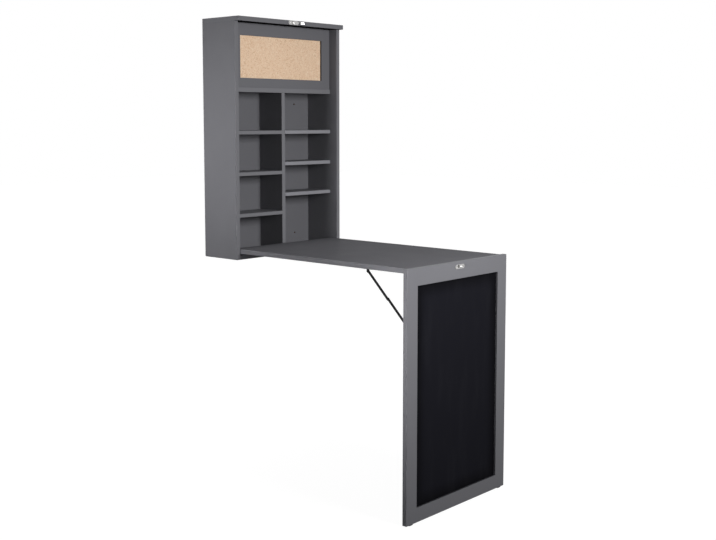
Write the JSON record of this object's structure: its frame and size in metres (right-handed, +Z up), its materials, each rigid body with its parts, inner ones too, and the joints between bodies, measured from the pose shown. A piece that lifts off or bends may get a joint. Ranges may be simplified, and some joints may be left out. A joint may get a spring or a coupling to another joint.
{
  "type": "wall-mounted folding table",
  "caption": "Wall-mounted folding table: a shelved cabinet with a framed pinboard and a drop-down desk whose framed chalkboard leg closes over the front.",
  "frame": {"origin": "middle of the four wall screw holes, on the wall plane at the back of the hanging rails", "axes": "+Z up, +Y into the wall, +X to the right as one faces the wall"},
  "size_m": [0.49, 0.884, 1.5],
  "materials": {
    "grey_board": "satin",
    "thin_grey_board": "satin",
    "raw_wood": "matte",
    "cork": "matte",
    "chalkboard_paint": "matte",
    "zinc_steel": "satin",
    "bright_nickel": "polished",
    "black_metal": "satin",
    "black_plastic": "matte"
  },
  "bodies": {
    "cabinet": {"left_side_panel": "grey_board", "right_side_panel": "grey_board", "top_panel": "grey_board", "bottom_panel": "grey_board", "fixed_shelf": "grey_board", "centre_divider": "grey_board", "back_panel": "thin_grey_board", "upper_hanging_rail": "raw_wood", "lower_hanging_rail": "raw_wood", "left_upper_shelf": "grey_board", "left_middle_shelf": "grey_board", "left_lower_shelf": "grey_board", "right_upper_shelf": "grey_board", "right_middle_shelf": "grey_board", "right_lower_shelf": "grey_board", "pinboard_left_stile": "grey_board", "pinboard_right_stile": "grey_board", "pinboard_top_rail": "grey_board", "pinboard_bottom_rail": "grey_board", "cork_sheet": "cork", "pinboard_backing": "thin_grey_board", "pinboard_dowels": "raw_wood", "cam_locks": "zinc_steel", "cam_bolts": "zinc_steel", "pivot_bushes": "black_plastic", "latch_plate": "bright_nickel", "latch_screws": "bright_nickel", "latch_rivet": "bright_nickel"},
    "desk": {"desk_top": "grey_board", "pivot_pins": "zinc_steel", "desk_hinge_leaves": "zinc_steel", "desk_stay_brackets": "black_metal", "stay_desk_rivets": "black_metal", "desk_screws": "zinc_steel"},
    "leg": {"leg_left_stile": "grey_board", "leg_right_stile": "grey_board", "leg_top_rail": "grey_board", "leg_bottom_rail": "grey_board", "chalkboard": "chalkboard_paint", "foot_glides": "black_plastic", "leg_hinge_leaves": "zinc_steel", "hinge_pins": "zinc_steel", "leg_stay_brackets": "black_metal", "stay_leg_rivets": "black_metal", "leg_screws": "zinc_steel", "keeper_plate": "bright_nickel", "keeper_stud": "bright_nickel", "keeper_screws": "bright_nickel"},
    "left_stay_upper": {"left_stay_upper_bar": "black_metal", "left_stay_knee_rivet": "black_metal"},
    "right_stay_upper": {"right_stay_upper_bar": "black_metal", "right_stay_knee_rivet": "black_metal"},
    "left_stay_lower": {"left_stay_lower_bar": "black_metal"},
    "right_stay_lower": {"right_stay_lower_bar": "black_metal"},
    "latch": {"latch_hook": "bright_nickel"}
  },
  "joints": [
    {"name": "desk_fold", "type": "hinge", "parent": "cabinet", "child": "desk", "pos_m": [0, -0.136, -0.25307], "axis": [-1, 0, 0], "range_deg": [0, 90]},
    {"name": "leg_fold", "type": "hinge", "parent": "desk", "child": "leg", "pos_m": [0, -0.85275, -0.26832], "axis": [1, 0, 0], "range_deg": [0, 90]},
    {"name": "latch_swing", "type": "hinge", "parent": "cabinet", "child": "latch", "pos_m": [0, -0.179, 0.49693], "axis": [0, 1, 0], "range_deg": [0, 90]},
    {"name": "left_stay_upper_fold", "type": "hinge", "parent": "desk", "child": "left_stay_upper", "pos_m": [-0.2153, -0.70275, -0.26832], "axis": [-1, 0, 0], "range_deg": [0, 45]},
    {"name": "left_stay_lower_fold", "type": "hinge", "parent": "leg", "child": "left_stay_lower", "pos_m": [-0.2131, -0.85275, -0.41832], "axis": [1, 0, 0], "range_deg": [0, 45]},
    {"name": "right_stay_upper_fold", "type": "hinge", "parent": "desk", "child": "right_stay_upper", "pos_m": [0.2153, -0.70275, -0.26832], "axis": [-1, 0, 0], "range_deg": [0, 45]},
    {"name": "right_stay_lower_fold", "type": "hinge", "parent": "leg", "child": "right_stay_lower", "pos_m": [0.2131, -0.85275, -0.41832], "axis": [1, 0, 0], "range_deg": [0, 45]}
  ],
  "couplings": [
    {"joint": "leg_fold", "follows": "desk_fold", "ratio": 1},
    {"joint": "left_stay_upper_fold", "follows": "desk_fold", "ratio": 0.5},
    {"joint": "left_stay_lower_fold", "follows": "desk_fold", "ratio": 0.5},
    {"joint": "right_stay_upper_fold", "follows": "desk_fold", "ratio": 0.5},
    {"joint": "right_stay_lower_fold", "follows": "desk_fold", "ratio": 0.5}
  ]
}
